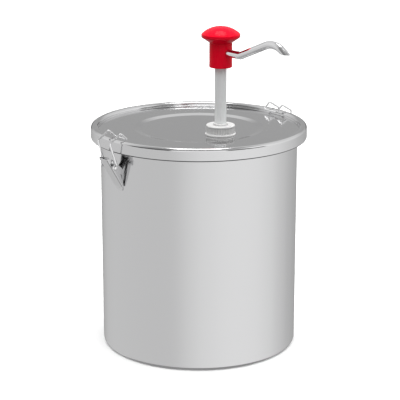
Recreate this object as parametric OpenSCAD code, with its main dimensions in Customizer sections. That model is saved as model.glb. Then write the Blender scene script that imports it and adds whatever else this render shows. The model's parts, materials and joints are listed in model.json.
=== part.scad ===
// Condiment pump dispenser: a stainless pail with a lift-off lid, two wire
// toggle latches and a hand-pressed plunger pump with a swivelling spout.
// Millimetres. +Z is up and the origin is the centre of the pail's base.
// The spout points along -Y and the latches stand at +X and -X.

/* [Pail] */
// Outer radius of the pail wall
pail_r = 120; // [116:1:122]
// Thickness of the pail's sheet
pail_t = 1; // [0.8:0.1:1.2]
// Height of the centre of the rolled bead above the base
bead_z = 264; // [263:0.5:265]
// Radius of the rolled bead's section
bead_r = 4; // [3.5:0.1:4]
// Radius of the rounded bottom edge
pail_edge_r = 5; // [3:0.5:8]

/* [Lid] */
// Outer radius of the lid's rolled ring
ring_r = 131.5; // [131.5:0.5:133]
// Inner radius of the ring
ring_inner_r = 122; // [121:0.25:122.25]
// Height of the ring's top above the base
ring_top_z = 275; // [274.5:0.5:276]
// Height of the ring's lower edge above the base
ring_bottom_z = 259.5; // [259.5:0.5:260]
// Radius of the ring's rounded top corners
ring_corner_r = 3.6; // [2.5:0.1:3.7]
// Thickness of the lid's sheet
lid_t = 1.2; // [1:0.1:1.2]
// Height of the lid's flat outer floor, top side
lid_floor_z = 270.4; // [269.8:0.1:271]
// Drop of the lid's centre disc below its outer floor
disc_drop = 1.5; // [1:0.1:2]
// Radius of the centre disc
disc_r = 71; // [69:0.5:74]
// Radius at which the pressed step reaches the outer floor
step_r = 79.5; // [78:0.5:84]

/* [Latches] */
// Width of the lever across its flanges
lever_w = 16.6; // [16:0.2:17]
// Thickness of the latch sheet
latch_t = 1; // [0.8:0.1:1]
// Diameter of the bail wire
bail_d = 2.2; // [2:0.1:2.4]
// Distance between the bail's two legs, centre to centre
bail_w = 24; // [23.6:0.2:25]
// Radius of the latch pins
pin_r = 1.25; // [1.2:0.05:1.3]

/* [Pump] */
// Distance of the pump axis in front of the pail axis
pump_y = 41; // [40:1:48]
// Bore radius of the pump cylinder
bore_r = 12.5; // [12.5:0.1:12.6]
// Stroke of the plunger
stroke = 60; // [45:1:62]
// Radius of the plunger stem
stem_r = 7; // [6.9:0.05:7]
// Radius of the bore through the stem
stem_bore_r = 4.8; // [4.6:0.1:4.8]
// Outer radius of the cap nut's skirt
cap_r = 17.3; // [17:0.1:18]
// Height of the cap nut
cap_h = 12; // [12:0.5:13]
// Radius of the thin flange round the foot of the cap nut
cap_flange_r = 18.5; // [18.2:0.1:20]
// Height of the dip tube's lower end above the base
dip_z = 8; // [6:1:14]

/* [Knob and spout] */
// Height of the discharge head's lower end above the base
head_z = 350.5; // [348:0.5:354]
// Radius of the discharge head
head_r = 13.6; // [13.5:0.1:15]
// Height of the discharge head
head_h = 30; // [30:0.2:32]
// Radius of the palm knob
knob_r = 23; // [22:0.2:28]
// Height of the palm knob's conical underside
knob_cone_h = 5.9; // [5:0.1:8]
// Height of the palm knob's straight rim
knob_rim_h = 3.6; // [3:0.1:6]
// Height of the palm knob's dome
knob_dome_h = 9.2; // [8:0.1:12]
// Outer radius of the spout tube
spout_r = 4.5; // [4.2:0.1:5]
// Wall thickness of the spout tube
spout_t = 0.9; // [0.7:0.1:1]
// Height of the spout's root above the discharge head's lower end
spout_root = 18.5; // [18.4:0.1:19.4]
// Slopes of the spout's three straight runs, upwards positive
spout_slopes = [0, 22, -38];

/* [Fits] */
// Radial clearance of a running fit
run_gap = 0.05; // [0.02:0.01:0.08]
// Gap between neighbours that must never touch
free_gap = 0.3; // [0.2:0.05:0.4]

/* [Hidden] */
$fn = 96;

steel = [0.78, 0.78, 0.8];
chrome = [0.86, 0.87, 0.89];
white = [0.95, 0.95, 0.93];
milky = [0.86, 0.87, 0.86];
red = [0.8, 0.06, 0.16];
silicone = [0.82, 0.84, 0.85];
rubber = [0.15, 0.15, 0.16];

eps = 0.01;
bend_swell = 0.03;
bend_lap = 0.3;

// Lid and neck levels
disc_top = lid_floor_z - disc_drop;
disc_under = disc_top - lid_t;
neck_r = 14.8;
neck_hole_r = neck_r + free_gap;
neck_gasket_h = 1.7;
neck_flange_r = 18;
neck_flange_h = 2.2;
neck_flange_top = disc_under - neck_gasket_h;
cap_top = disc_top + cap_h;
cap_roof_t = 2;
guide_flange_h = 2;
neck_top = cap_top - cap_roof_t - guide_flange_h;

// Pump cylinder, piston and valves
cylinder_t = 1.8;
guide_bottom = neck_top - 16;
piston_h = 12;
piston_top = guide_bottom - free_gap;
piston_bottom = piston_top - piston_h;
piston_floor_h = 4.5;
washer_h = 1.2;
spring_top = piston_bottom - washer_h;
spring_solid_h = 16;
cylinder_floor = spring_top - stroke - spring_solid_h;
cylinder_floor_t = 3;
ball_chamber_r = 6.3;
inlet_ball_r = 5;
inlet_seat_r = 3.5;
inlet_seat_z = cylinder_floor - 10;
inlet_ball_z = inlet_seat_z + sqrt(pow(inlet_ball_r, 2) - pow(inlet_seat_r, 2)) + run_gap;
inlet_lift = 3.8;
inlet_cage_z = inlet_ball_z + inlet_ball_r + inlet_lift + run_gap;
inlet_cage_r = 7.2;
cage_h = 1.4;
spigot_r = 8.2;
foot_flange_r = 12;
foot_gasket_h = 1.2;
foot_flange_top = cylinder_floor - cylinder_floor_t - foot_gasket_h;
foot_flange_bottom = inlet_seat_z - 2;
barb_r = 5.9;
barb_h = 16;
dip_r = 7.4;
outlet_ball_r = 4;
outlet_seat_r = 3;
outlet_seat_z = piston_bottom + piston_floor_h;
outlet_ball_z = outlet_seat_z + sqrt(pow(outlet_ball_r, 2) - pow(outlet_seat_r, 2)) + run_gap;
outlet_lift = 4;
outlet_cage_z = outlet_ball_z + outlet_ball_r + outlet_lift + run_gap;

// Discharge head, knob and spout
stem_top = head_z + 13;
chamber_r = 5.5;
chamber_top = head_z + 24.4;
spigot_socket_r = 6;
knob_z = head_z + head_h;
spout_z = head_z + spout_root;
spout_runs = [34.5, 46, 2];
spout_bend_r = [6, 32];

// Latch outline, as distance from the pail axis and height
hinge = [135.6, 249.4];
stud = [135, 244];
lever_top = [144, 253];
lever_tip = [122.2, 217];
lever_dir = (lever_top - lever_tip) / norm(lever_top - lever_tip);
lever_in = [-lever_dir[1], lever_dir[0]];
flange_top = [130, 251];
bail_corner = [142, 273.2];
bail_peak = [126, 282.8];
bail_end = [117, 274.4];
bail_bend_r = 2.5;
boss_r = 3;
ear_gap = 9.4;
plate_w = 12.6;
plate_bottom = 212;
plate_top = 239;
ear_foot = 230;
eye_r = 2.9;
stud_head_r = 2.3;

// ---- shared shapes

// A section with a flat foot and two rounded top corners
module rounded_top(w, h, r) {
    square([w, h - r]);
    translate([r, 0]) square([w - 2 * r, h]);
    translate([r, h - r]) circle(r);
    translate([w - r, h - r]) circle(r);
}

// Half of a tub's section, from the axis to the wall
module tub_section(r, h, edge) {
    square([r - edge, h]);
    translate([0, edge]) square([r, h - edge]);
    translate([r - edge, edge]) circle(edge);
}

// A tube standing on z
module ring_at(z, h, r_out, r_in) {
    translate([0, 0, z]) difference() {
        cylinder(r = r_out, h = h);
        translate([0, 0, -1]) cylinder(r = r_in, h = h + 2);
    }
}

// A round cord bent into a closed ring
module cord_ring(z, r_mid, r_cord) {
    translate([0, 0, z]) rotate_extrude() translate([r_mid, 0]) circle(r_cord, $fn = 32);
}

// The square groove, open inwards, that holds such a ring
module seal_groove(z, r_mid, r_cord) {
    translate([0, 0, z - r_cord]) cylinder(r = r_mid + r_cord, h = 2 * r_cord);
}

// Moves a pump piece from the pail axis to the pump axis
module on_pump_axis() {
    translate([0, -pump_y, 0]) children();
}

// Turns the +X latch to the other side of the pail
module left_side() {
    rotate([0, 0, 180]) children();
}

// A plate cut to an outline of [radius, height] points, square to the Y axis
module plate_at(y, t, points) {
    translate([0, y, 0]) rotate([90, 0, 0]) linear_extrude(t, center = true) polygon(points);
}

// A round bar along Y through a [radius, height] point
module bar_at(p, y, h, r) {
    translate([p[0], y, p[1]]) rotate([90, 0, 0]) cylinder(r = r, h = h, center = true, $fn = 32);
}

// Part of a torus that turns a rod heading along +X up towards +Z. It is a hair
// thicker than the rod, so that the straight runs end inside it.
module bend(r, rad, turn) {
    translate([0, 0, rad]) rotate([90, 0, 0]) rotate([0, 0, -90])
        rotate_extrude(angle = turn) translate([rad, 0]) circle(r + bend_swell);
}

// A straight run along +X from the origin, lapped into its neighbours
module rod_run(r, length, lap_in, lap_out) {
    translate([-lap_in, 0, 0]) rotate([0, 90, 0]) cylinder(r = r, h = lap_in + length + lap_out);
}

// Carries its children along a bent route: straight runs, and bends that reach each slope in turn
module at_rod_step(runs, slopes, bends, step) {
    if (step == 0) {
        children();
    } else {
        turn = slopes[step] - slopes[step - 1];
        rad = bends[step - 1];
        at_rod_step(runs, slopes, bends, step - 1)
            translate([runs[step - 1] + rad * sin(abs(turn)), 0, sign(turn) * rad * (1 - cos(turn))])
            rotate([0, -turn, 0]) children();
    }
}

// A bent rod along +X, with its two ends lengthened by start and finish
module bent_rod(r, runs, slopes, bends, start = 0, finish = 0) {
    last = len(runs) - 1;
    for (i = [0 : last]) at_rod_step(runs, slopes, bends, i) {
        rod_run(r, runs[i], i == 0 ? start : bend_lap, i == last ? finish : bend_lap);
        if (i < last) translate([runs[i], 0, 0])
            mirror([0, 0, slopes[i + 1] > slopes[i] ? 0 : 1])
                bend(r, bends[i], abs(slopes[i + 1] - slopes[i]));
    }
}

// ---- pail and lid

module pail() {
    color(steel) rotate_extrude($fn = 180) {
        difference() {
            tub_section(pail_r, bead_z, pail_edge_r);
            translate([-1, pail_t]) tub_section(pail_r - pail_t + 1, bead_z, pail_edge_r - pail_t);
        }
        translate([pail_r - pail_t + bead_r, bead_z]) circle(bead_r);
    }
}

// The lid is one pressing: centre disc, sloped step, floor and rolled ring
module lid() {
    ring_h = ring_top_z - ring_bottom_z - lid_t;
    ring_w = ring_r - ring_inner_r;
    color(steel) difference() {
        rotate_extrude($fn = 180) {
            translate([0, disc_under]) square([disc_r, lid_t]);
            polygon([
                [disc_r - eps, disc_under],
                [step_r, lid_floor_z - lid_t],
                [step_r, lid_floor_z],
                [disc_r - eps, disc_top]
            ]);
            translate([step_r, lid_floor_z - lid_t]) square([ring_inner_r + lid_t - step_r, lid_t]);
            translate([ring_inner_r, ring_bottom_z + lid_t]) difference() {
                rounded_top(ring_w, ring_h, ring_corner_r);
                translate([lid_t, -1])
                    rounded_top(ring_w - 2 * lid_t, ring_h - lid_t + 1, ring_corner_r - lid_t);
                translate([-1, -1]) square([ring_w / 2, lid_floor_z - ring_bottom_z - 2 * lid_t + 1]);
            }
            translate([ring_r - lid_t, ring_bottom_z + lid_t]) circle(lid_t, $fn = 32);
        }
        on_pump_axis() translate([0, 0, disc_under - 5]) cylinder(r = neck_hole_r, h = 10);
    }
}

// Flat silicone ring inside the lid's rolled ring, just over the pail's bead
module lid_gasket() {
    foot = bead_z + bead_r + free_gap;
    width = ring_r - ring_inner_r - 2 * lid_t - 1.4;
    color(silicone) rotate_extrude() translate([ring_inner_r + lid_t, foot])
        rounded_top(width, ring_top_z - lid_t - foot, ring_corner_r - lid_t + 0.2);
}

// ---- latches, drawn at +X

// Curved plate on the pail wall with two ears that carry the lever's pin
module latch_bracket() {
    ear_y = ear_gap / 2 + latch_t / 2;
    color(steel) {
        intersection() {
            ring_at(plate_bottom, plate_top - plate_bottom, pail_r + latch_t, pail_r);
            translate([pail_r - 5, -plate_w / 2, plate_bottom]) cube([10, plate_w, 40]);
        }
        for (y = [-ear_y, ear_y]) difference() {
            union() {
                plate_at(y, latch_t, [
                    [pail_r + latch_t / 2, ear_foot],
                    [hinge[0] - 0.6, hinge[1] - boss_r + 0.4],
                    [hinge[0] - boss_r * 0.6, hinge[1] + boss_r * 0.8],
                    [pail_r + latch_t / 2, plate_top]
                ]);
                bar_at(hinge, y, latch_t, boss_r);
            }
            bar_at(hinge, y, 2 * latch_t, pin_r);
        }
    }
}

// Headed pin, fixed in the bracket's ears
module latch_pin() {
    color(chrome) {
        bar_at(hinge, 0, lever_w + 2 * free_gap + 1.2, pin_r);
        for (side = [-1, 1]) bar_at(hinge, side * (lever_w / 2 + free_gap + 0.4), 0.8, pin_r + 0.7);
    }
}

// Folded wedge lever: a face sheet with two flanges
module latch_lever() {
    in = lever_in * latch_t;
    root = in / 2 + lever_dir * latch_t / 2;
    color(steel) {
        plate_at(0, lever_w, [lever_tip, lever_top, lever_top + in, lever_tip + in]);
        for (side = [-1, 1]) difference() {
            plate_at(side * (lever_w - latch_t) / 2, latch_t, [
                lever_tip + root, lever_top + in - root, flange_top
            ]);
            bar_at(hinge, side * lever_w / 2, 4 * latch_t, pin_r + run_gap);
            bar_at(stud, side * lever_w / 2, 4 * latch_t, pin_r + run_gap);
        }
    }
}

// Two headed studs in the lever's flanges, which carry the bail's eyes
module bail_studs() {
    inner = lever_w / 2 - latch_t - free_gap - 0.8;
    outer = bail_w / 2 + bail_d / 2 + free_gap;
    color(chrome) for (side = [-1, 1]) {
        bar_at(stud, side * (inner + outer) / 2, outer - inner, pin_r);
        bar_at(stud, side * (inner + 0.4), 0.8, pin_r + 0.3);
        bar_at(stud, side * (outer + 0.4), 0.8, stud_head_r);
    }
}

// Half of the bail: eye, leg, roof over the ring and half of the bar across its end
module bail_half() {
    r = bail_d / 2;
    points = [stud, bail_corner, bail_peak, bail_end];
    steps = [for (i = [0 : 2]) points[i + 1] - points[i]];
    slopes = [for (v = steps) let (a = atan2(v[1], v[0])) a < 0 ? a + 360 : a];
    corners = [for (i = [0 : 1]) bail_bend_r * tan((slopes[i + 1] - slopes[i]) / 2)];
    trims = [eye_r - 0.6, corners[0], corners[1], bail_bend_r];
    runs = [for (i = [0 : 2]) norm(steps[i]) - trims[i] - trims[i + 1]];
    difference() {
        bar_at(stud, bail_w / 2, bail_d + 0.2, eye_r);
        bar_at(stud, bail_w / 2, 2 * bail_d, pin_r + run_gap);
    }
    bends = [bail_bend_r, bail_bend_r];
    translate([stud[0], bail_w / 2, stud[1]]) rotate([0, -slopes[0], 0]) translate([trims[0], 0, 0]) {
        bent_rod(r, runs, slopes, bends, 0, bend_lap);
        at_rod_step(runs, slopes, bends, 2) translate([runs[2], 0, 0]) rotate([90, 0, 0]) {
            bend(r, bail_bend_r, 90);
            translate([bail_bend_r, 0, bail_bend_r - bend_lap])
                cylinder(r = r, h = bail_w / 2 - bail_bend_r + 2 * bend_lap);
        }
    }
}

// Spring-wire bail
module bail() {
    color(chrome) {
        bail_half();
        mirror([0, 1, 0]) bail_half();
    }
}

// ---- fixed pump pieces, drawn about the pump axis

// Barrel with a threaded neck, a clamping flange and a floor for the spring
module pump_cylinder() {
    color(milky) difference() {
        union() {
            translate([0, 0, cylinder_floor - cylinder_floor_t])
                cylinder(r = bore_r + cylinder_t, h = neck_top - cylinder_floor + cylinder_floor_t);
            translate([0, 0, neck_flange_top - neck_flange_h]) cylinder(r = neck_flange_r, h = neck_flange_h);
            translate([0, 0, neck_flange_top - eps])
                cylinder(r = neck_r, h = neck_top - neck_flange_top + eps);
        }
        translate([0, 0, cylinder_floor]) cylinder(r = bore_r, h = 200);
        translate([0, 0, cylinder_floor - 10]) cylinder(r = spigot_r, h = 20);
    }
}

module neck_gasket() {
    color(silicone) ring_at(neck_flange_top, neck_gasket_h, neck_flange_r - 0.2, neck_r + 0.1);
}

module cap_nut() {
    color(white) difference() {
        union() {
            translate([0, 0, disc_top]) cylinder(r = cap_flange_r, h = 1.8);
            translate([0, 0, disc_top]) cylinder(r = cap_r, h = cap_h - 1);
            translate([0, 0, cap_top - 1]) cylinder(r1 = cap_r, r2 = cap_r - 1, h = 1);
        }
        translate([0, 0, disc_top - 1]) cylinder(r = neck_r + run_gap, h = cap_h - cap_roof_t + 1);
        translate([0, 0, cap_top - 5]) cylinder(r = stem_r + 2, h = 10);
    }
}

// Guide bush in the neck, with a hub that stands through the cap nut
module stem_guide() {
    color(white) difference() {
        union() {
            translate([0, 0, guide_bottom]) cylinder(r = bore_r - run_gap, h = neck_top - guide_bottom);
            translate([0, 0, neck_top]) cylinder(r = neck_r - 0.2, h = guide_flange_h);
            translate([0, 0, neck_top]) cylinder(r = stem_r + 1.8, h = cap_top + 2 - neck_top);
        }
        translate([0, 0, guide_bottom - 1]) cylinder(r = stem_r + run_gap, h = 40);
        seal_groove(neck_top - 5, stem_r + 1.6, 1.5);
    }
}

module stem_seal() {
    color(rubber) cord_ring(neck_top - 5, stem_r + 1.6, 1.5);
}

// Screwed-in foot valve with a ball chamber and a barb for the dip tube
module foot_valve() {
    color(white) difference() {
        union() {
            translate([0, 0, foot_flange_bottom])
                cylinder(r = foot_flange_r, h = foot_flange_top - foot_flange_bottom);
            translate([0, 0, foot_flange_top - eps])
                cylinder(r = spigot_r, h = inlet_cage_z + cage_h - foot_flange_top + eps);
            translate([0, 0, foot_flange_bottom - barb_h]) cylinder(r = barb_r, h = barb_h + eps);
        }
        translate([0, 0, foot_flange_bottom - barb_h - 1]) cylinder(r = inlet_seat_r, h = 60);
        translate([0, 0, inlet_seat_z]) cylinder(r = ball_chamber_r, h = 60);
        translate([0, 0, inlet_cage_z]) cylinder(r = inlet_cage_r, h = 10);
    }
}

module foot_valve_gasket() {
    color(silicone) ring_at(foot_flange_top, foot_gasket_h, foot_flange_r - 0.2, spigot_r + 0.1);
}

module valve_ball(z, r) {
    color(chrome) translate([0, 0, z]) sphere(r);
}

// Disc with three flow holes that stops a ball's lift
module ball_cage(z, r) {
    color(white) difference() {
        translate([0, 0, z]) cylinder(r = r, h = cage_h);
        for (a = [0, 120, 240]) rotate([0, 0, a])
            translate([r * 0.55, 0, z - 1]) cylinder(r = r * 0.28, h = cage_h + 2, $fn = 32);
    }
}

// Dip tube with a slanted foot that can't seal against the pail's floor
module dip_tube() {
    color(milky) difference() {
        ring_at(dip_z, foot_flange_bottom - dip_z, dip_r, barb_r);
        translate([-20, 0, dip_z]) rotate([-35, 0, 0]) translate([0, -30, -30]) cube([40, 60, 30]);
    }
}

// ---- plunger

function spring_point(i, steps, turns, r, z0, h) =
    let (t = i / steps, a = 360 * turns * t)
    [r * cos(a), r * sin(a), z0 + h * t];

// Round-wire compression spring swept along its helix
module return_spring() {
    wire_r = 0.8;
    sides = 6;
    steps = 198;
    turns = 9;
    coil_r = 10.6;
    foot = cylinder_floor + wire_r + 0.1;
    height = spring_top - cylinder_floor - 2 * wire_r - 0.2;
    ring = [for (i = [0 : steps]) for (k = [0 : sides - 1])
        let (
            p = spring_point(i, steps, turns, coil_r, foot, height),
            a = 360 * turns * i / steps,
            b = 360 * k / sides
        )
        p + wire_r * [cos(b) * cos(a), cos(b) * sin(a), sin(b)]];
    walls = [for (i = [0 : steps - 1]) for (k = [0 : sides - 1])
        let (m = (k + 1) % sides)
        [i * sides + k, i * sides + m, (i + 1) * sides + m, (i + 1) * sides + k]];
    color(chrome) polyhedron(
        points = ring,
        faces = concat(
            [[for (k = [sides - 1 : -1 : 0]) k]],
            walls,
            [[for (k = [0 : sides - 1]) steps * sides + k]]
        ),
        convexity = 10
    );
}

// Loose washer that lets the plunger turn without winding the spring
module spring_washer() {
    color(white) ring_at(spring_top, washer_h, bore_r - 0.4, stem_r);
}

module piston() {
    color(white) difference() {
        translate([0, 0, piston_bottom]) cylinder(r = bore_r - run_gap, h = piston_h);
        translate([0, 0, outlet_seat_z]) cylinder(r = stem_r, h = piston_h);
        translate([0, 0, piston_bottom - 1]) cylinder(r = outlet_seat_r, h = piston_h);
        ring_at(piston_top - 5.5, 3, bore_r + 1, bore_r - 2);
    }
}

module piston_seal() {
    color(rubber) ring_at(piston_top - 5.5, 3, bore_r - run_gap / 2, bore_r - 2);
}

module stem() {
    color(milky) ring_at(outlet_seat_z, stem_top - outlet_seat_z, stem_r, stem_bore_r);
}

// Follows the spout's route out of the head, towards -Y
module along_spout() {
    translate([0, 0, spout_z]) rotate([0, 0, -90]) rotate([0, -spout_slopes[0], 0]) children();
}

// Sleeve that joins the stem to the spout and carries the knob
module discharge_head() {
    color(red) difference() {
        translate([0, 0, head_z]) cylinder(r = head_r, h = head_h);
        translate([0, 0, head_z - 1]) cylinder(r = stem_r, h = stem_top - head_z + 1);
        translate([0, 0, stem_top - eps]) cylinder(r = chamber_r, h = chamber_top - stem_top);
        translate([0, 0, chamber_top + 1]) cylinder(r = spigot_socket_r, h = head_h);
        seal_groove(head_z + 6, stem_r + 1.2, 1.2);
        along_spout() rotate([0, 90, 0]) cylinder(r = spout_r, h = 40);
    }
}

module head_o_ring() {
    color(rubber) cord_ring(head_z + 6, stem_r + 1.2, 1.2);
}

// Mushroom knob: conical underside, straight rim, low dome and a spigot
module palm_knob() {
    rim_z = knob_z + knob_cone_h;
    dome_z = rim_z + knob_rim_h;
    dome_r = (pow(knob_r, 2) + pow(knob_dome_h, 2)) / (2 * knob_dome_h);
    color(red) {
        translate([0, 0, knob_z]) cylinder(r1 = head_r + 0.6, r2 = knob_r, h = knob_cone_h);
        translate([0, 0, rim_z]) cylinder(r = knob_r, h = knob_rim_h);
        rotate_extrude() translate([0, dome_z]) intersection() {
            translate([0, knob_dome_h - dome_r]) circle(dome_r);
            translate([0, -eps]) square([knob_r, knob_dome_h + 1]);
        }
        translate([0, 0, chamber_top + 1]) cylinder(r = spigot_socket_r, h = knob_z - chamber_top);
    }
}

// Bent chrome tube, cut level at its tip. A tube cut level is longer below its
// centre line's end by its radius over the sine of its slope.
module spout() {
    extra = spout_r / sin(-spout_slopes[2]) + 2;
    color(chrome) difference() {
        along_spout() difference() {
            bent_rod(spout_r, spout_runs, spout_slopes, spout_bend_r, 0, extra);
            bent_rod(spout_r - spout_t, spout_runs, spout_slopes, spout_bend_r, 1, extra + 1);
        }
        translate([0, 0, head_z]) cylinder(r = chamber_r, h = head_h);
        along_spout() at_rod_step(spout_runs, spout_slopes, spout_bend_r, 2)
            translate([spout_runs[2], 0, 0]) rotate([0, spout_slopes[2], 0])
            translate([-extra, -20, -40]) cube([80, 40, 40]);
    }
}

pail();
lid();
lid_gasket();
left_side() latch_bracket();  // left_latch_bracket
left_side() latch_pin();  // left_latch_pin
left_side() latch_lever();  // left_latch_lever
left_side() bail_studs();  // left_bail_studs
left_side() bail();  // left_bail
latch_bracket();  // right_latch_bracket
latch_pin();  // right_latch_pin
latch_lever();  // right_latch_lever
bail_studs();  // right_bail_studs
bail();  // right_bail
on_pump_axis() pump_cylinder();
on_pump_axis() neck_gasket();
on_pump_axis() cap_nut();
on_pump_axis() stem_guide();
on_pump_axis() stem_seal();
on_pump_axis() foot_valve();
on_pump_axis() foot_valve_gasket();
on_pump_axis() valve_ball(inlet_ball_z, inlet_ball_r);  // inlet_ball
on_pump_axis() ball_cage(inlet_cage_z, inlet_cage_r);  // inlet_ball_cage
on_pump_axis() dip_tube();
on_pump_axis() return_spring();
on_pump_axis() spring_washer();
on_pump_axis() piston();
on_pump_axis() piston_seal();
on_pump_axis() stem();
on_pump_axis() valve_ball(outlet_ball_z, outlet_ball_r);  // outlet_ball
on_pump_axis() ball_cage(outlet_cage_z, stem_bore_r);  // outlet_ball_cage
on_pump_axis() discharge_head();
on_pump_axis() head_o_ring();
on_pump_axis() palm_knob();
on_pump_axis() spout();
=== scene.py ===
"""Looks for the condiment pump dispenser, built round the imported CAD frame.

Sections are drawn in millimetres and scaled to metres as each mesh is made.
The pail's axis is Z, the pump's axis is parallel to it in front (-Y), and the
latches stand at +X and -X.
"""

import json
import math

import bmesh
import bpy
from mathutils import Matrix, Vector

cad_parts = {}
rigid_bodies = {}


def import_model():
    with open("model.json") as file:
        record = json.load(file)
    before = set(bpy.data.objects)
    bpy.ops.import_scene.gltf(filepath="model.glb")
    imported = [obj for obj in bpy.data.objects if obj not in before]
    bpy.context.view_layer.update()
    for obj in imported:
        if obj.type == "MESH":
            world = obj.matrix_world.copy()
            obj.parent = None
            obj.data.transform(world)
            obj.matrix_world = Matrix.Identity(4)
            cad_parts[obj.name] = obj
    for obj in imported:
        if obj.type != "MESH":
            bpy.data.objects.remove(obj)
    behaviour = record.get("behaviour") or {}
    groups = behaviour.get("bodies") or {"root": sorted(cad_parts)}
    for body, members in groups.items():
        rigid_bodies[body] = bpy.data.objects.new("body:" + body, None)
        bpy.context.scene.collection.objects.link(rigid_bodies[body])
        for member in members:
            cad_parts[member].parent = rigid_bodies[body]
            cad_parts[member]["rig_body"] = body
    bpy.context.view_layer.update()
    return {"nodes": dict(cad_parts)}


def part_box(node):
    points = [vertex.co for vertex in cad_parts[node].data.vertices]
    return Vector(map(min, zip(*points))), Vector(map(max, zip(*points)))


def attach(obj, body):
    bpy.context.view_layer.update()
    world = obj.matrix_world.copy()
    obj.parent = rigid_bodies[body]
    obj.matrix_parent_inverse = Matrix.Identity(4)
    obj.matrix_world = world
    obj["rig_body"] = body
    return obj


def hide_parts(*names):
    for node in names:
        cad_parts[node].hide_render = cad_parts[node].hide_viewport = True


for old in list(bpy.data.objects):
    bpy.data.objects.remove(old)
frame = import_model()
NODES = frame["nodes"]
MM = 0.001
TURN = 2 * math.pi


def box_mm(node):
    """Lowest and highest corner of a CAD node, in millimetres."""
    low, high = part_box(node)
    return low / MM, high / MM


def link_mesh(name, bm):
    """A new object in the scene that holds the bmesh, which is freed."""
    mesh = bpy.data.meshes.new(name)
    bm.to_mesh(mesh)
    bm.free()
    made = bpy.data.objects.new(name, mesh)
    bpy.context.scene.collection.objects.link(made)
    return made


# ---- camera

CAMERA_AZIMUTH = math.radians(-39.08)
CAMERA_DISTANCE = 1.75
CAMERA_HEIGHT = 0.6773
CAMERA_PITCH = math.radians(15.93)
CAMERA_YAW = math.radians(0.045)
CAMERA_LENS = 132.55
CAMERA_SENSOR = 36.0
CAMERA_REACH = 100


def make_camera():
    data = bpy.data.cameras.new("camera")
    data.lens = CAMERA_LENS
    data.sensor_width = CAMERA_SENSOR
    data.clip_end = CAMERA_REACH
    camera = bpy.data.objects.new("camera", data)
    bpy.context.scene.collection.objects.link(camera)
    side, ahead = math.sin(CAMERA_AZIMUTH), math.cos(CAMERA_AZIMUTH)
    camera.location = (side * CAMERA_DISTANCE, -ahead * CAMERA_DISTANCE, CAMERA_HEIGHT)
    camera.rotation_euler = (math.pi / 2 - CAMERA_PITCH, 0, CAMERA_AZIMUTH - CAMERA_YAW)
    bpy.context.scene.camera = camera


# ---- world, light and floor

# Brightness of the studio by the angle round it, in degrees: 0 is the camera's side,
# 90 its right and 180 the far side. The belts follow each other upwards: walls below
# the horizon, then skirting, low and high.
WALL_TONES = [
    (-180, 0.38), (-160, 0.50), (-143, 0.70), (-125, 0.79), (-105, 0.82), (-32, 0.82),
    (-17.6, 0.91), (0, 1.02), (17.6, 1.08), (35, 1.12), (62, 1.12), (80, 1.07),
    (100, 0.95), (125, 0.74), (143, 0.60), (160, 0.47),
]
SKIRTING_TONES = [
    (-180, 0.46), (-173, 0.46), (-170, 0.0), (-157, 0.0), (-152, 0.6), (-120, 0.9),
    (-60, 0.9), (0, 1.2), (60, 1.2), (120, 0.9), (152, 0.6), (157, 0.0), (170, 0.0), (173, 0.46),
]
LOW_TONES = [
    (-180, 0.46), (-165, 0.46), (-145, 0.7), (-120, 1.0), (-90, 1.0), (-78, 0.5), (-74, 0.01),
    (-31, 0.01), (-28, 1.4), (28, 1.4), (31, 0.01), (72, 0.01), (76, 1.2), (120, 1.0),
    (145, 0.7), (165, 0.46),
]
HIGH_TONES = [
    (-180, 0.88), (-140, 0.9), (-100, 1.0), (-76, 0.5), (-62, 0.25), (-34, 0.25), (-18, 0.6),
    (20, 0.6), (56, 0.55), (64, 1.3), (110, 1.0), (150, 0.9),
]
CEILING_TONE = 0.5
PIT_TONE = 0.4
# Each band is where its belt takes over, as the height of a unit direction. The pit is
# straight below, so its band runs downwards.
SKIRTING_BAND = (-0.02, 0.01)
LOW_BAND = (0.09, 0.12)
HIGH_BAND = (0.32, 0.48)
CEILING_BAND = (0.75, 0.92)
PIT_BAND = (-0.66, -0.74)
# Share of the walls' brightness that falls on matt surfaces: from below and the sides,
# then from above
SOFT_SHARES = (0.32, 3.4)
SOFT_BAND = (0.4, 0.95)
# A colour ramp ends at 1, so its stops hold the tone divided by this strength
STUDIO_STRENGTH = 2


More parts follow.
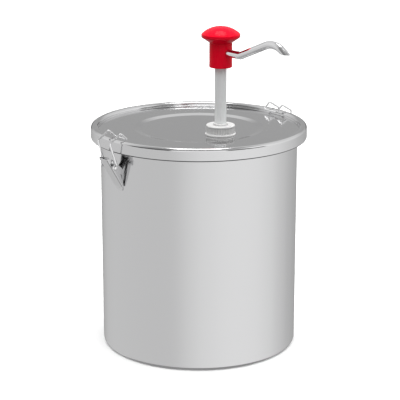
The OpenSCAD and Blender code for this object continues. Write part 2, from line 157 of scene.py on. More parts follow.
def make_world():
    world = bpy.data.worlds.new("studio")
    bpy.context.scene.world = world
    world.use_nodes = True
    tree = world.node_tree
    tree.nodes.clear()
    new, link = tree.nodes.new, tree.links.new
    coords = new("ShaderNodeTexCoord")
    turn = new("ShaderNodeMapping")
    turn.inputs["Rotation"].default_value = (0, 0, math.pi / 2 - CAMERA_AZIMUTH)
    around = new("ShaderNodeTexGradient")
    around.gradient_type = "RADIAL"
    link(coords.outputs["Generated"], turn.inputs["Vector"])
    link(turn.outputs["Vector"], around.inputs["Vector"])
    split = new("ShaderNodeSeparateXYZ")
    link(coords.outputs["Generated"], split.inputs[0])

    def belt(tones, interpolation):
        made = new("ShaderNodeValToRGB")
        ramp = made.color_ramp
        ramp.interpolation = interpolation
        while len(ramp.elements) > 1:
            ramp.elements.remove(ramp.elements[-1])
        for i, (angle, tone) in enumerate(tones + [(180, tones[0][1])]):
            at = (angle + 180) / 360
            stop = ramp.elements[0] if i == 0 else ramp.elements.new(at)
            level = tone / STUDIO_STRENGTH
            stop.position = at
            stop.color = (level, level, level, 1)
        link(around.outputs["Fac"], made.inputs["Fac"])
        return made.outputs["Color"]

    def mixed(below, above, factor, kind="MIX"):
        """Mix of two sockets or grey levels by a socket or a number."""
        mix = new("ShaderNodeMix")
        mix.data_type = "RGBA"
        mix.blend_type = kind
        mix.clamp_result = False
        for name, value in (("Factor", factor), ("A", below), ("B", above)):
            if isinstance(value, bpy.types.NodeSocket):
                link(value, mix.inputs[name])
            elif name == "Factor":
                mix.inputs[name].default_value = value
            else:
                mix.inputs[name].default_value = (value, value, value, 1)
        return mix.outputs["Result"]

    def share_of_height(band):
        share = new("ShaderNodeMapRange")
        share.interpolation_type = "SMOOTHSTEP"
        share.inputs["From Min"].default_value, share.inputs["From Max"].default_value = band
        link(split.outputs["Z"], share.inputs["Value"])
        return share.outputs[0]

    walls = belt(WALL_TONES, "CARDINAL")
    colour = mixed(walls, belt(SKIRTING_TONES, "LINEAR"), share_of_height(SKIRTING_BAND))
    colour = mixed(colour, belt(LOW_TONES, "LINEAR"), share_of_height(LOW_BAND))
    colour = mixed(colour, belt(HIGH_TONES, "LINEAR"), share_of_height(HIGH_BAND))
    colour = mixed(colour, CEILING_TONE / STUDIO_STRENGTH, share_of_height(CEILING_BAND))
    colour = mixed(colour, PIT_TONE / STUDIO_STRENGTH, share_of_height(PIT_BAND))
    soft = mixed(walls, mixed(*SOFT_SHARES, share_of_height(SOFT_BAND)), 1.0, "MULTIPLY")
    colour = mixed(colour, soft, new("ShaderNodeLightPath").outputs["Is Diffuse Ray"])
    background = new("ShaderNodeBackground")
    background.inputs["Strength"].default_value = STUDIO_STRENGTH
    out = new("ShaderNodeOutputWorld")
    link(colour, background.inputs["Color"])
    link(background.outputs[0], out.inputs["Surface"])


LIGHT_AT = Vector((0.25, 0.31, 2.3))
LIGHT_TARGET = Vector((0, 0, 0.3))
LIGHT_SIZE = 0.9
LIGHT_POWER = 15


def make_light():
    data = bpy.data.lights.new("overhead", "AREA")
    data.shape = "SQUARE"
    data.size = LIGHT_SIZE
    data.energy = LIGHT_POWER
    light = bpy.data.objects.new("overhead", data)
    bpy.context.scene.collection.objects.link(light)
    light.location = LIGHT_AT
    light.rotation_euler = (LIGHT_TARGET - LIGHT_AT).to_track_quat("-Z", "Y").to_euler()


FLOOR_REACH = 30
FLOOR_TONE = 0.86


def make_floor():
    """The matt floor, which no reflection or soft light on the object comes from."""
    bm = bmesh.new()
    corners = ((-1, -1), (1, -1), (1, 1), (-1, 1))
    bm.faces.new([bm.verts.new((x * FLOOR_REACH, y * FLOOR_REACH, 0)) for x, y in corners])
    floor = link_mesh("floor", bm)
    paint = bpy.data.materials.new("floor_paint")
    paint.use_nodes = True
    shader = paint.node_tree.nodes["Principled BSDF"]
    shader.inputs["Base Color"].default_value = (FLOOR_TONE, FLOOR_TONE, FLOOR_TONE, 1)
    shader.inputs["Roughness"].default_value = 1.0
    shader.inputs["Specular IOR Level"].default_value = 0.0
    floor.data.materials.append(paint)
    floor.visible_glossy = False
    floor.visible_diffuse = False


# ---- materials

NOISE_DETAIL = 3.0
BUMP_DEPTH = 0.0002
# Painted shade on the lid's rolled lower edge: the height it reaches, its fade and its dark tone
LIP_SHADE_HEIGHT = 1.7
LIP_SHADE_FADE = 0.5
LIP_SHADE_TONE = 0.1


def finish(name, colour, metallic, scale, rough, bump=0.0, stretch=(1, 1, 1)):
    """A material with noise in the object's own coordinates that varies its roughness
    between two values and, with bump, raises its surface."""
    made = bpy.data.materials.new(name)
    made.use_nodes = True
    shader = made.node_tree.nodes["Principled BSDF"]
    shader.inputs["Base Color"].default_value = (*colour, 1)
    shader.inputs["Metallic"].default_value = metallic
    new, link = made.node_tree.nodes.new, made.node_tree.links.new
    coords = new("ShaderNodeTexCoord")
    mapping = new("ShaderNodeMapping")
    mapping.inputs["Scale"].default_value = stretch
    noise = new("ShaderNodeTexNoise")
    noise.inputs["Scale"].default_value = scale
    noise.inputs["Detail"].default_value = NOISE_DETAIL
    link(coords.outputs["Object"], mapping.inputs["Vector"])
    link(mapping.outputs["Vector"], noise.inputs["Vector"])
    spread = new("ShaderNodeMapRange")
    spread.inputs["To Min"].default_value, spread.inputs["To Max"].default_value = rough
    link(noise.outputs["Fac"], spread.inputs["Value"])
    link(spread.outputs[0], shader.inputs["Roughness"])
    if bump:
        raised = new("ShaderNodeBump")
        raised.inputs["Strength"].default_value = bump
        raised.inputs["Distance"].default_value = BUMP_DEPTH
        link(noise.outputs["Fac"], raised.inputs["Height"])
        link(raised.outputs["Normal"], shader.inputs["Normal"])
    return made


def shader_of(material):
    return material.node_tree.nodes["Principled BSDF"]


def paint_lip_shade(material):
    """Painted shade: the lid's rolled lower edge is painted dark below a set height, for the shadow line
    under the ring.
    """
    level = (box_mm("lid")[0].z + LIP_SHADE_HEIGHT) * MM
    base = shader_of(material).inputs["Base Color"]
    new, link = material.node_tree.nodes.new, material.node_tree.links.new
    coords = new("ShaderNodeTexCoord")
    split = new("ShaderNodeSeparateXYZ")
    link(coords.outputs["Object"], split.inputs[0])
    share = new("ShaderNodeMapRange")
    share.inputs["From Min"].default_value = level - LIP_SHADE_FADE * MM
    share.inputs["From Max"].default_value = level
    link(split.outputs["Z"], share.inputs["Value"])
    mix = new("ShaderNodeMix")
    mix.data_type = "RGBA"
    mix.inputs["A"].default_value = (LIP_SHADE_TONE, LIP_SHADE_TONE, LIP_SHADE_TONE, 1)
    mix.inputs["B"].default_value = base.default_value
    link(share.outputs[0], mix.inputs["Factor"])
    link(mix.outputs["Result"], base)


def make_materials():
    steel = (0.62, 0.62, 0.625)
    made = {
        "pail_steel": finish("satin_steel", steel, 1.0, 6, (0.09, 0.17), 0.015, (1, 1, 90)),
        "lid_steel": finish("lid_steel", steel, 1.0, 40, (0.07, 0.13)),
        "latch_steel": finish("latch_steel", (0.60, 0.60, 0.605), 1.0, 300, (0.16, 0.26), 0.02),
        "wire": finish("bright_wire", (0.80, 0.80, 0.805), 1.0, 500, (0.08, 0.16)),
        "chrome": finish("chrome_plate", (0.68, 0.68, 0.685), 1.0, 150, (0.03, 0.07)),
        "red": finish("red_moulding", (0.84, 0.001, 0.020), 0.0, 900, (0.17, 0.22), 0.01),
        "white": finish("white_moulding", (0.65, 0.65, 0.645), 0.0, 900, (0.34, 0.46), 0.01),
        "milky": finish("milky_tube", (0.80, 0.81, 0.81), 0.0, 700, (0.3, 0.4), 0.01),
        "silicone": finish("clear_silicone", (0.78, 0.80, 0.80), 0.0, 700, (0.45, 0.6), 0.01),
        "rubber": finish("black_seal", (0.02, 0.02, 0.022), 0.0, 900, (0.5, 0.62), 0.02),
    }
    # Painted shade: the lid's rolled lower edge is painted dark
    paint_lip_shade(made["lid_steel"])
    shader_of(made["red"]).inputs["Specular IOR Level"].default_value = 0.07
    milky = shader_of(made["milky"])
    milky.inputs["Subsurface Weight"].default_value = 0.2
    milky.inputs["Subsurface Radius"].default_value = (0.002, 0.002, 0.002)
    return made


# ---- sections and meshes

def rounded(corners, step=12.0):
    """Closed outline through (x, y, radius) corners, with each corner turned into an arc."""
    out = []
    count = len(corners)
    for i, (x, y, radius) in enumerate(corners):
        point = Vector((x, y))
        if radius <= 0:
            out.append((x, y))
            continue
        back = (Vector(corners[i - 1][:2]) - point).normalized()
        on = (Vector(corners[(i + 1) % count][:2]) - point).normalized()
        half = back.angle(on) / 2
        centre = point + (back + on).normalized() * (radius / math.sin(half))
        first = point + back * (radius / math.tan(half)) - centre
        last = point + on * (radius / math.tan(half)) - centre
        sweep = math.atan2(first.x * last.y - first.y * last.x, first.dot(last))
        steps = max(2, math.ceil(abs(math.degrees(sweep)) / step))
        for k in range(steps + 1):
            out.append(tuple(centre + Matrix.Rotation(sweep * k / steps, 2) @ first))
    return out


def arc(centre, radius, start, end, steps):
    """Points of a circular arc, with its angles in degrees."""
    angles = [math.radians(start + (end - start) * k / steps) for k in range(steps + 1)]
    return [(centre[0] + radius * math.cos(a), centre[1] + radius * math.sin(a)) for a in angles]


def ring_of(bm, radius, height, centre, segments, shape=None):
    """One ring of a lathed surface, or a single point where it meets the axis."""
    if radius == 0:
        return [bm.verts.new(Vector((centre[0], centre[1], height)) * MM)]
    made = []
    for k in range(segments):
        a = TURN * k / segments
        r = shape(a, radius, height) if shape else radius
        made.append(bm.verts.new(Vector((
            centre[0] + r * math.cos(a), centre[1] + r * math.sin(a), height
        )) * MM))
    return made


def bridge(bm, low, high):
    """Faces between two rings, either of which may be a single point."""
    count = max(len(low), len(high))
    if count == 1:
        return
    for k in range(count):
        m = (k + 1) % count
        face = [low[k % len(low)], low[m % len(low)], high[m % len(high)], high[k % len(high)]]
        corners = [v for i, v in enumerate(face) if v not in face[:i]]
        bm.faces.new(corners)


def lathe(outline, centre, segments, shape=None, closed=True):
    """Surface of revolution of a (radius, height) outline about an upright line."""
    bm = bmesh.new()
    rings = [ring_of(bm, r, z, centre, segments, shape) for r, z in outline]
    last = len(rings) if closed else len(rings) - 1
    for i in range(last):
        bridge(bm, rings[i], rings[(i + 1) % len(rings)])
    return bm, rings


def path_through(points, radius, step=10.0):
    """Points of a route through 3-D corners, with each inner corner bent to the radius."""
    out = [points[0]]
    for before, here, after in zip(points, points[1:], points[2:]):
        back, on = (before - here).normalized(), (after - here).normalized()
        half = back.angle(on) / 2
        centre = here + (back + on).normalized() * (radius / math.sin(half))
        start = here + back * (radius / math.tan(half))
        axis = back.cross(on).normalized()
        sweep = math.pi - 2 * half
        steps = math.ceil(math.degrees(sweep) / step)
        for k in range(steps + 1):
            turn = Matrix.Rotation(-sweep * k / steps, 3, axis)
            out.append(centre + turn @ (start - centre))
    out.append(points[-1])
    return out


def frames_along(path):
    """A side, a lift and a heading at each point of a route, carried along without twist."""
    count = len(path)
    heading = []
    for i in range(count):
        a, b = path[max(i - 1, 0)], path[min(i + 1, count - 1)]
        heading.append((b - a).normalized())
    start = Vector((0, 0, 1)) if abs(heading[0].z) < 0.9 else Vector((1, 0, 0))
    side = heading[0].cross(start).normalized()
    made = []
    for i in range(count):
        if i:
            side = heading[i - 1].rotation_difference(heading[i]) @ side
        side = (side - heading[i] * side.dot(heading[i])).normalized()
        made.append((side, heading[i].cross(side), heading[i]))
    return made


def circle(point, axes, radius, sides):
    """Points round a route's point, in the plane of its side and lift."""
    side, lift, _ = axes
    turns = [TURN * k / sides for k in range(sides)]
    return [point + (side * math.cos(a) + lift * math.sin(a)) * radius for a in turns]


ROD_DOME_TURNS = [math.radians(a) for a in (80, 60, 30)]
ROD_DOME_FLATNESS = 0.5


def rod(bm, path, radius, sides, dome=True):
    """Round rod along a route in millimetres, with flattened domes on its ends."""
    stations = [(point, axes, radius) for point, axes in zip(path, frames_along(path))]
    if dome:
        first, last = stations[0], stations[-1]
        rise = radius * ROD_DOME_FLATNESS
        lead = [(first[0] - first[1][2] * rise * math.sin(t), first[1], radius * math.cos(t))
                for t in ROD_DOME_TURNS]
        tail = [(last[0] + last[1][2] * rise * math.sin(t), last[1], radius * math.cos(t))
                for t in reversed(ROD_DOME_TURNS)]
        stations = lead + stations + tail
    rings = [[bm.verts.new(p * MM) for p in circle(*station, sides)] for station in stations]
    for low, high in zip(rings, rings[1:]):
        bridge(bm, low, high)
    bm.faces.new(rings[0])
    bm.faces.new(rings[-1][::-1])


def prism(bm, outline, y_from, y_to):
    """Plate of a (radius, height) outline, between two distances along Y, in millimetres."""
    near = [bm.verts.new(Vector((x, y_from, z)) * MM) for x, z in outline]
    far = [bm.verts.new(Vector((x, y_to, z)) * MM) for x, z in outline]
    bm.faces.new(near)
    bm.faces.new(far[::-1])
    bridge(bm, near, far)


def add_turning(bm, profile, segments, place):
    """Adds a lathed profile to the bmesh, moved and turned by a matrix."""
    made, _ = lathe(profile, (0, 0), segments, closed=False)
    mesh = bpy.data.meshes.new("turning")
    made.to_mesh(mesh)
    made.free()
    mesh.transform(place)
    bm.from_mesh(mesh)
    bpy.data.meshes.remove(mesh)


def cutter(bm):
    """A solid that another piece is cut with or joined to."""
    bmesh.ops.recalc_face_normals(bm, faces=bm.faces)
    return link_mesh("cutter", bm)


BEVEL_STEPS = 2
BEVEL_ANGLE = math.radians(30)
NORMAL_WEIGHT = 80


def to_object(name, bm, material, sharp=38.0, bevel=0.0, parts=()):
    """Turns a bmesh into an object with shaded normals, after cutting or joining parts."""
    bmesh.ops.recalc_face_normals(bm, faces=bm.faces)
    made = link_mesh(name, bm)
    for operation, other in parts:
        cut = made.modifiers.new("cut", "BOOLEAN")
        cut.operation = operation
        cut.solver = "EXACT"
        cut.object = other
    if bevel:
        edge = made.modifiers.new("edge", "BEVEL")
        edge.width = bevel * MM
        edge.segments = BEVEL_STEPS
        edge.limit_method = "ANGLE"
        edge.angle_limit = BEVEL_ANGLE
    if parts or bevel:
        graph = bpy.context.evaluated_depsgraph_get()
        baked = bpy.data.meshes.new_from_object(made.evaluated_get(graph))
        made.modifiers.clear()
        made.data = baked
        for _, other in parts:
            bpy.data.objects.remove(other)
        baked.name = name
    data = made.data
    data.materials.clear()
    data.materials.append(material)
    data.polygons.foreach_set("use_smooth", [True] * len(data.polygons))
    data.set_sharp_from_angle(angle=math.radians(sharp))
    weights = made.modifiers.new("normals", "WEIGHTED_NORMAL")
    weights.keep_sharp = True
    weights.weight = NORMAL_WEIGHT
    return made


def stand_for(piece, node):
    """The piece rides on the node's body and is shown in its place."""
    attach(piece, NODES[node]["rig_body"])
    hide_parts(node)


# ---- pail and lid

PAIL_R = 120.0
PAIL_SHEET = 1.0
PAIL_EDGE = 5.0
BEAD = 4.0
BEAD_STEPS = 36
LID_SHEET = 1.2
DISC_R = 71.0
DISC_DROP = 1.5
STEP_R = 79.5
STEP_BEND = 9.0
RING_IN = 122.0
RING_BEND = 3.6
FLOOR_BELOW_RING = 4.6
FLOOR_BEND = 0.8
LIP_W = 2.4
NECK_HOLE = 15.1
LID_SEGMENTS = 288


def pump_axis():
    """Where the pump's axis stands, as (x, y) in millimetres."""
    low, high = box_mm("stem")
    return (low.x + high.x) / 2, (low.y + high.y) / 2


PUMP = pump_axis()


def make_pail(material):
    high = box_mm("pail")[1]
    bead_r, bead_z = high.x - BEAD, high.z - BEAD
    inside = PAIL_R - PAIL_SHEET
    meet = math.degrees(math.asin((bead_r - PAIL_R) / BEAD)) + 90
    outer = rounded([(0, 0, 0), (PAIL_R, 0, PAIL_EDGE), (PAIL_R, bead_z, 0)], 6)[:-1]
    bead = arc((bead_r, bead_z), BEAD, -meet, 180, BEAD_STEPS)
    inner = rounded([
        (inside, bead_z, 0), (inside, PAIL_SHEET, PAIL_EDGE - PAIL_SHEET), (0, PAIL_SHEET, 0),
    ], 6)[1:]
    bm, _ = lathe(outer + bead + inner, (0, 0), 256)
    stand_for(to_object("pail_shell", bm, material), "pail")


def make_lid(material):
    low, high = box_mm("lid")
    top, bottom, ring_out = high.z, low.z, high.x
    floor = top - FLOOR_BELOW_RING
    disc = floor - DISC_DROP
    disc_start = DISC_R - 6
    t = LID_SHEET
    section = rounded([
        (disc_start, disc, 0), (DISC_R, disc, STEP_BEND), (STEP_R, floor, STEP_BEND),
        (RING_IN, floor, FLOOR_BEND), (RING_IN, top, RING_BEND), (ring_out, top, RING_BEND),
        (ring_out, bottom, 1.8), (ring_out - LIP_W, bottom, 0.5), (ring_out - LIP_W, bottom + 2.2, 0),
        (ring_out - t, bottom + 3.4, 0.8), (ring_out - t, top - t, RING_BEND - t),
        (RING_IN + t, top - t, RING_BEND - t), (RING_IN + t, floor - t, 1.2),
        (STEP_R, floor - t, STEP_BEND), (DISC_R, disc - t, STEP_BEND), (disc_start, disc - t, 0),
    ], 6)
    bm, rings = lathe(section, (0, 0), LID_SEGMENTS, closed=False)
    upper, under = [ring_of(bm, NECK_HOLE, z, PUMP, LID_SEGMENTS) for z in (disc, disc - t)]
    bridge(bm, rings[0], upper)
    bridge(bm, upper, under)
    bridge(bm, under, rings[-1])
    stand_for(to_object("lid_pressing", bm, material), "lid")


# ---- latches, drawn at +X and turned for the other side

def axis_of(node):
    """Where a bar along Y stands, as (radius, height)."""
    low, high = box_mm(node)
    return Vector(((low.x + high.x) / 2, (low.z + high.z) / 2))


HINGE = axis_of("right_latch_pin")
STUD = axis_of("right_bail_studs")
LEVER_TOP = HINGE + Vector((8.4, 3.6))
LEVER_TIP = HINGE + Vector((-13.4, -32.4))
FLANGE_TOP = HINGE + Vector((-5.6, 1.6))
LEVER_HALF = 8.3
LEVER_TOP_EDGE = 0.6
LATCH_SHEET = 1.0
FOLD = 1.3
HOLLOW_CLEAR = 12
BAIL_CORNER = HINGE + Vector((6.4, 23.8))
BAIL_PEAK = HINGE + Vector((-9.6, 33.4))
BAIL_END = HINGE + Vector((-18.6, 25.0))
BAIL_HALF = 12.0
BAIL_BEND = 2.5
WIRE = 1.1
EYE_GAP = 0.1
EYE_TURNS = range(300, -1, -12)
PIN_R = 1.25
PIN_HEAD = 1.95
STUD_INNER_HEAD = 1.55
STUD_OUTER_HEAD = 2.3
STUD_INSET = 1.1
HEAD_T = 0.8
# Dome of a pin's head from its middle outwards, as shares of its radius and thickness
HEAD_DOME = ((0, 0), (0.6, 0), (0.92, 0.35), (1, 0.75), (1, 1))
PLATE_HALF = 6.3
PLATE_H = 27
PLATE_COLUMNS = 10
EAR_Y = 5.2
EAR_FOOT = 18
EAR_SET_OFF = 0.4
SPOT_HEIGHTS = (4.5, 10.5)
# A weld spot as (radius, distance from the pail's wall)
SPOT_DOME = ((0, 0.6), (1.5, 0.6), (1.5, 1.15), (1.1, 1.35), (0, 1.45))


def turned(bm, side):
    if side == "left":
        bmesh.ops.rotate(bm, verts=bm.verts, cent=(0, 0, 0), matrix=Matrix.Rotation(math.pi, 3, "Z"))
    return bm


def across(point, y):
    """A (radius, height) point of a latch at a distance along Y."""
    return Vector((point.x, y, point.y))


def make_lever(side, material):
    """A plate with two flanges, folded with round edges and open towards the pail."""
    along = (LEVER_TOP - LEVER_TIP).normalized()
    inward = Vector((-along.y, along.x)) * LATCH_SHEET
    solid, hollow = bmesh.new(), bmesh.new()
    slices = []
    for sign in (-1, 1):
        turns = [math.radians(a) for a in range(0, 91, 15)]
        for a in turns if sign < 0 else turns[::-1]:
            y = sign * (LEVER_HALF - FOLD * (1 - math.cos(a)))
            sunk = inward * FOLD * (1 - math.sin(a))
            tip, top = LEVER_TIP + sunk, LEVER_TOP + sunk
            section = (tip, top, top + inward * LEVER_TOP_EDGE, FLANGE_TOP, tip + inward)
            slices.append([solid.verts.new(across(p, y) * MM) for p in section])
    for near, far in zip(slices, slices[1:]):
        bridge(solid, near, far)
    solid.faces.new(slices[0])
    solid.faces.new(slices[-1][::-1])
    foot = LEVER_TIP + inward - along * HOLLOW_CLEAR
    head = LEVER_TOP + inward + along * HOLLOW_CLEAR
    depth = inward * 2 * HOLLOW_CLEAR
    inner = [tuple(p) for p in (foot, head, head + depth, foot + depth)]
    prism(hollow, inner, -LEVER_HALF + LATCH_SHEET, LEVER_HALF - LATCH_SHEET)
    cut = cutter(turned(hollow, side))
    folded = turned(solid, side)
    piece = to_object(side + "_lever_pressing", folded, material, parts=[("DIFFERENCE", cut)])
    stand_for(piece, side + "_latch_lever")


def make_bail(side, material):
    """Bent wire from an eye round one stud, over the ring and back to the other stud."""
    eye = WIRE + PIN_R + EYE_GAP
    reach = BAIL_CORNER - STUD
    lean = math.atan2(reach.y, reach.x) + math.acos(eye / reach.length)
    angles = [lean + math.radians(turn) for turn in EYE_TURNS]
    loop = [across(STUD + Vector((math.cos(a), math.sin(a))) * eye, BAIL_HALF) for a in angles]
    corners = [across(p, BAIL_HALF) for p in (BAIL_CORNER, BAIL_PEAK, BAIL_END)]
    leg = path_through([loop[-1]] + corners + [across(BAIL_END, 0)], BAIL_BEND)
    near = loop[:-1] + leg[:-1]
    far = [Vector((p.x, -p.y, p.z)) for p in reversed(near)]
    bm = bmesh.new()
    rod(bm, near + [leg[-1]] + far, WIRE, 18)
    piece = to_object(side + "_bail_wire_form", turned(bm, side), material, sharp=60)
    stand_for(piece, side + "_bail")


def headed_bar(bm, point, y_from, y_to, first, last):
    """Round bar along Y with a domed head of the given radius at each end."""
    profile = [(first * r, y_from + HEAD_T * t) for r, t in HEAD_DOME]
    profile += [(PIN_R, y_from + HEAD_T), (PIN_R, y_to - HEAD_T)]
    profile += [(last * r, y_to - HEAD_T * t) for r, t in reversed(HEAD_DOME)]
    along_y = Matrix.Rotation(-math.pi / 2, 4, "X")
    add_turning(bm, profile, 28, Matrix.Translation(across(point, 0) * MM) @ along_y)


def make_pins(side, material):
    low, high = box_mm(side + "_latch_pin")
    bm = bmesh.new()
    headed_bar(bm, HINGE, low.y, high.y, PIN_HEAD, PIN_HEAD)
    pin = to_object(side + "_hinge_pin", turned(bm, side), material)
    stand_for(pin, side + "_latch_pin")
    low, high = box_mm(side + "_bail_studs")
    inner = LEVER_HALF - LATCH_SHEET - STUD_INSET
    bm = bmesh.new()
    headed_bar(bm, STUD, inner, high.y, STUD_INNER_HEAD, STUD_OUTER_HEAD)
    headed_bar(bm, STUD, low.y, -inner, STUD_OUTER_HEAD, STUD_INNER_HEAD)
    studs = to_object(side + "_stud_pair", turned(bm, side), material)
    stand_for(studs, side + "_bail_studs")


def curved_plate(bottom, top):
    """The bracket's plate with rounded corners, bent round the pail's wall."""
    bm = bmesh.new()
    outline = rounded([
        (-PLATE_HALF, bottom, 2.2), (PLATE_HALF, bottom, 2.2),
        (PLATE_HALF, top, 1.0), (-PLATE_HALF, top, 1.0),
    ], 15)
    rows = []
    for z in sorted({round(z, 4) for _, z in outline}):
        reach = max(abs(y) for y, level in outline if abs(level - z) < 1e-3)
        ys = [reach * (2 * k / PLATE_COLUMNS - 1) for k in range(PLATE_COLUMNS + 1)]
        rows.append([
            [bm.verts.new(Vector((math.sqrt(r * r - y * y), y, z)) * MM) for y in ys]
            for r in (PAIL_R, PAIL_R + LATCH_SHEET)
        ])
    for (inner, outer), (inner_up, outer_up) in zip(rows, rows[1:]):
        for k in range(PLATE_COLUMNS):
            bm.faces.new((outer[k], outer[k + 1], outer_up[k + 1], outer_up[k]))
            bm.faces.new((inner[k + 1], inner[k], inner_up[k], inner_up[k + 1]))
        bm.faces.new((inner[0], outer[0], outer_up[0], inner_up[0]))
        bm.faces.new((outer[-1], inner[-1], inner_up[-1], outer_up[-1]))
    for inner, outer in (rows[0], rows[-1]):
        for k in range(PLATE_COLUMNS):
            bm.faces.new((inner[k], inner[k + 1], outer[k + 1], outer[k]))
    return bm


def make_bracket(side, material):
    """The plate on the pail's wall, with an ear at each end of the pin and two weld spots."""
    bottom = box_mm(side + "_latch_bracket")[0].z
    plate_top = bottom + PLATE_H
    foot = PAIL_R + EAR_SET_OFF
    ear = rounded([
        (foot, bottom + EAR_FOOT, 0), (HINGE.x - 0.6, HINGE.y - 2.6, 0),
        (HINGE.x + 1.8, HINGE.y - 2.9, 2.0), (HINGE.x + 3.0, HINGE.y, 2.0),
        (HINGE.x + 1.6, HINGE.y + 2.9, 2.0), (HINGE.x - 1.8, HINGE.y + 2.4, 1.0), (foot, plate_top, 0),
    ], 20)
    joined = []
    for y in (-EAR_Y, EAR_Y):
        plate = bmesh.new()
        prism(plate, ear, y - LATCH_SHEET / 2, y + LATCH_SHEET / 2)
        joined.append(("UNION", cutter(turned(plate, side))))
    for height in SPOT_HEIGHTS:
        spot = bmesh.new()
        raised = Matrix.Translation((0, 0, (bottom + height) * MM))
        outwards = raised @ Matrix.Rotation(math.pi / 2, 4, "Y")
        add_turning(spot, [(r, PAIL_R + out) for r, out in SPOT_DOME], 20, outwards)
        joined.append(("UNION", cutter(turned(spot, side))))
    plate = turned(curved_plate(bottom, plate_top), side)
    piece = to_object(side + "_bracket_pressing", plate, material, bevel=0.2, parts=joined)
    stand_for(piece, side + "_latch_bracket")


# ---- pump

RIBS = 54
RIB_DEPTH = 1.0
RIB_SHARPNESS = 0.6
RIB_FADE = 0.5
CAP_SKIRT = 17.3
CAP_BORE = 14.9
CAP_MOUTH = 9.0
CAP_ROOF = 2.0
GUIDE_BORE = 7.05
GUIDE_PLUG = 12.45
GUIDE_FLANGE = 14.6
GUIDE_FLANGE_T = 2.0
GUIDE_HUB = 8.8
GUIDE_HUB_H = 6.0
SEAL_GROOVE = 10.1
STEM_BORE = 4.8
HEAD_BORE = 7.0
O_RING_GROOVE = 9.4
KNOB_CONE = 5.9
KNOB_RIM = 3.6
KNOB_NECK = 14.2
KNOB_BEND = 1.6
SPOUT_ABOVE_HEAD = 18.5
SPOUT_OUTER = 4.5
SPOUT_INNER = 3.6
SPOUT_SOCKET = 4.52
SPOUT_START = 5.5
SPOUT_SIDES = 56
# Straight runs of the spout, the slope of each in degrees, and the bends between them
SPOUT_RUNS = (34.5, 46.0, 2.0)
SPOUT_SLOPES = (0.0, 22.0, -38.0)
SPOUT_BENDS = (6.0, 32.0)
SPOUT_BEND_STEP = 3
# The tube is cut level at its tip, and the cut reaches this far back along the tube
SPOUT_CUT_REACH = 8.5
# Rounding of the tip's edge, as (depth into the wall, height above the cut)
SPOUT_EDGE = ((0, 0.12), (0.06, 0.03), (0.2, 0))


def make_cap(material):
    low, high = box_mm("cap_nut")
    bottom, top = low.z, high.z
    flange = high.x - PUMP[0]
    rib_low, rib_high = bottom + 2.4, top - 1.6

    def ribbed(a, radius, z):
        plain = z < rib_low + 0.1 or z > rib_high - 0.1
        if plain or abs(radius - CAP_SKIRT) > 0.05:
            return radius
        return radius - RIB_DEPTH * (0.5 - 0.5 * math.cos(RIBS * a)) ** RIB_SHARPNESS

    section = rounded([
        (CAP_BORE, bottom, 0.2), (flange, bottom, 0.3), (flange, bottom + 1.8, 0.7),
        (CAP_SKIRT, bottom + 1.9, 0.2), (CAP_SKIRT, rib_low, 0), (CAP_SKIRT, rib_low + RIB_FADE, 0),
        (CAP_SKIRT, rib_high - RIB_FADE, 0), (CAP_SKIRT, rib_high, 0), (CAP_SKIRT, top, 1.0),
        (CAP_MOUTH, top, 0.5), (CAP_MOUTH, top - CAP_ROOF, 0), (CAP_BORE, top - CAP_ROOF, 0),
    ])
    bm, _ = lathe(section, PUMP, RIBS * 8, ribbed)
    stand_for(to_object("ribbed_cap", bm, material, sharp=55), "cap_nut")


def make_guide(material):
    low, high = box_mm("stem_guide")
    seal_low, seal_high = box_mm("stem_seal")
    bottom, top = low.z, high.z
    neck_top = top - GUIDE_HUB_H
    flange_top = neck_top + GUIDE_FLANGE_T
    section = rounded([
        (GUIDE_BORE, bottom, 0.3), (GUIDE_PLUG, bottom, 0.5), (GUIDE_PLUG, neck_top, 0),
        (GUIDE_FLANGE, neck_top, 0.2), (GUIDE_FLANGE, flange_top, 0.2), (GUIDE_HUB, flange_top, 0),
        (GUIDE_HUB, top, 0.8), (GUIDE_BORE, top, 0.3), (GUIDE_BORE, seal_high.z, 0),
        (SEAL_GROOVE, seal_high.z, 0), (SEAL_GROOVE, seal_low.z, 0), (GUIDE_BORE, seal_low.z, 0),
    ])
    bm, _ = lathe(section, PUMP, 96)
    stand_for(to_object("guide_bush", bm, material), "stem_guide")


def make_stem(material):
    low, high = box_mm("stem")
    outer = (high.x - low.x) / 2
    section = rounded([
        (STEM_BORE, low.z, 0.2), (outer, low.z, 0.4), (outer, high.z, 0.4), (STEM_BORE, high.z, 0.2),
    ])
    bm, _ = lathe(section, PUMP, 96)
    stand_for(to_object("stem_tube", bm, material), "stem")


def make_head(material):
    """The sleeve, closed above the stem's end and bored across for the spout."""
    low, high = box_mm("discharge_head")
    seal_low, seal_high = box_mm("head_o_ring")
    radius = (high.x - low.x) / 2
    stem_top = box_mm("stem")[1].z
    section = rounded([
        (HEAD_BORE, low.z, 0.3), (radius, low.z, 0.9), (radius, high.z, 0.4), (0, high.z, 0),
        (0, stem_top, 0), (HEAD_BORE, stem_top, 0), (HEAD_BORE, seal_high.z, 0),
        (O_RING_GROOVE, seal_high.z, 0), (O_RING_GROOVE, seal_low.z, 0), (HEAD_BORE, seal_low.z, 0),
    ], 10)
    bm, _ = lathe(section, PUMP, 144)
    hole = bmesh.new()
    ends = (SPOUT_START, 2 * radius)
    path = [Vector((PUMP[0], PUMP[1] - reach, low.z + SPOUT_ABOVE_HEAD)) for reach in ends]
    rod(hole, path, SPOUT_SOCKET, 48, dome=False)
    piece = to_object("head_sleeve", bm, material, parts=[("DIFFERENCE", cutter(hole))])
    stand_for(piece, "discharge_head")


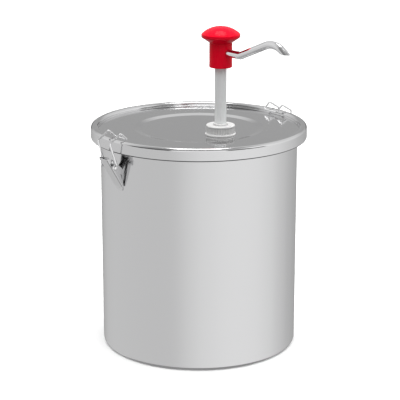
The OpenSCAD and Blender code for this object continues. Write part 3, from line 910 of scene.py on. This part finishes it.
def make_knob(material):
    low, high = box_mm("palm_knob")
    head_top = box_mm("discharge_head")[1].z
    radius = (high.x - low.x) / 2
    rim = head_top + KNOB_CONE
    dome_z = rim + KNOB_RIM
    rise = high.z - dome_z
    dome_r = (radius ** 2 + rise ** 2) / (2 * rise)
    edge = math.degrees(math.asin((radius - 0.9) / dome_r))
    dome = arc((0, high.z - dome_r), dome_r, 90 - edge, 90, 22)
    corners = [
        (KNOB_NECK - 0.6, head_top, 0), (KNOB_NECK, head_top, 0.3), (radius, rim, KNOB_BEND),
        (radius, dome_z - 0.2, KNOB_BEND),
    ]
    corners += [(x, z, 0) for x, z in dome[:-1]] + [(0, high.z, 0), (0, head_top, 0)]
    bm, _ = lathe(rounded(corners, 8), PUMP, 160)
    stand_for(to_object("knob_moulding", bm, material, sharp=50), "palm_knob")


def spout_route():
    """The tube's centre line, running forwards from the pump's axis in its own plane."""
    root = box_mm("discharge_head")[0].z + SPOUT_ABOVE_HEAD
    here = Vector((0.0, root))
    points = [Vector((SPOUT_START, root))]
    for i, (run, slope) in enumerate(zip(SPOUT_RUNS, SPOUT_SLOPES)):
        a = math.radians(slope)
        here = here + Vector((math.cos(a), math.sin(a))) * run
        points.append(here)
        if i == len(SPOUT_BENDS):
            break
        turn = SPOUT_SLOPES[i + 1] - slope
        centre = here + Vector((-math.sin(a), math.cos(a))) * math.copysign(SPOUT_BENDS[i], turn)
        steps = round(abs(turn) / SPOUT_BEND_STEP)
        bend = [Matrix.Rotation(math.radians(turn * k / steps), 2) for k in range(1, steps + 1)]
        points += [centre + rotation @ (here - centre) for rotation in bend]
        here = points[-1]
    return [Vector((PUMP[0], PUMP[1] - p.x, p.y)) for p in points]


def make_spout(material):
    path = spout_route()
    frames = frames_along(path)
    tip = path[-1]
    slope = math.radians(SPOUT_SLOPES[-1])
    ahead = Vector((0, -math.cos(slope), math.sin(slope)))
    bm = bmesh.new()

    def ring_at(i, radius):
        return [bm.verts.new(p * MM) for p in circle(path[i], frames[i], radius, SPOUT_SIDES)]

    def level_ring(radius, cut):
        """The tube's last ring, carried along its slope to a level cut."""
        ring = circle(tip, frames[-1], radius, SPOUT_SIDES)
        return [bm.verts.new((p + ahead * ((cut - p.z) / ahead.z)) * MM) for p in ring]

    square_cut = [i for i, p in enumerate(path) if (p - tip).length > SPOUT_CUT_REACH]
    rings = [ring_at(i, SPOUT_OUTER) for i in square_cut]
    rings += [level_ring(SPOUT_OUTER - depth, tip.z + rise) for depth, rise in SPOUT_EDGE]
    rings += [level_ring(SPOUT_INNER + depth, tip.z + rise) for depth, rise in reversed(SPOUT_EDGE)]
    rings += [ring_at(i, SPOUT_INNER) for i in reversed(square_cut)]
    for i in range(len(rings)):
        bridge(bm, rings[i], rings[(i + 1) % len(rings)])
    stand_for(to_object("spout_tube", bm, material, sharp=50), "spout")


# ---- assembly

SLOT_LOOKS = {
    "polished_steel": "latch_steel", "chrome_wire": "wire", "chrome_tube": "chrome", "red_plastic": "red",
    "white_plastic": "white", "milky_plastic": "milky", "silicone": "silicone", "black_rubber": "rubber",
}

make_camera()
make_world()
make_floor()
make_light()
materials = make_materials()
for node in NODES.values():
    for slot in node.material_slots:
        slot.material = materials[SLOT_LOOKS[slot.material.name.split(".")[0]]]

make_pail(materials["pail_steel"])
make_lid(materials["lid_steel"])
for latch_side in ("left", "right"):
    make_bracket(latch_side, materials["latch_steel"])
    make_lever(latch_side, materials["latch_steel"])
    make_pins(latch_side, materials["wire"])
    make_bail(latch_side, materials["wire"])
make_cap(materials["white"])
make_guide(materials["white"])
make_stem(materials["milky"])
make_head(materials["red"])
make_knob(materials["red"])
make_spout(materials["chrome"])

bpy.context.scene.view_settings.view_transform = "Standard"
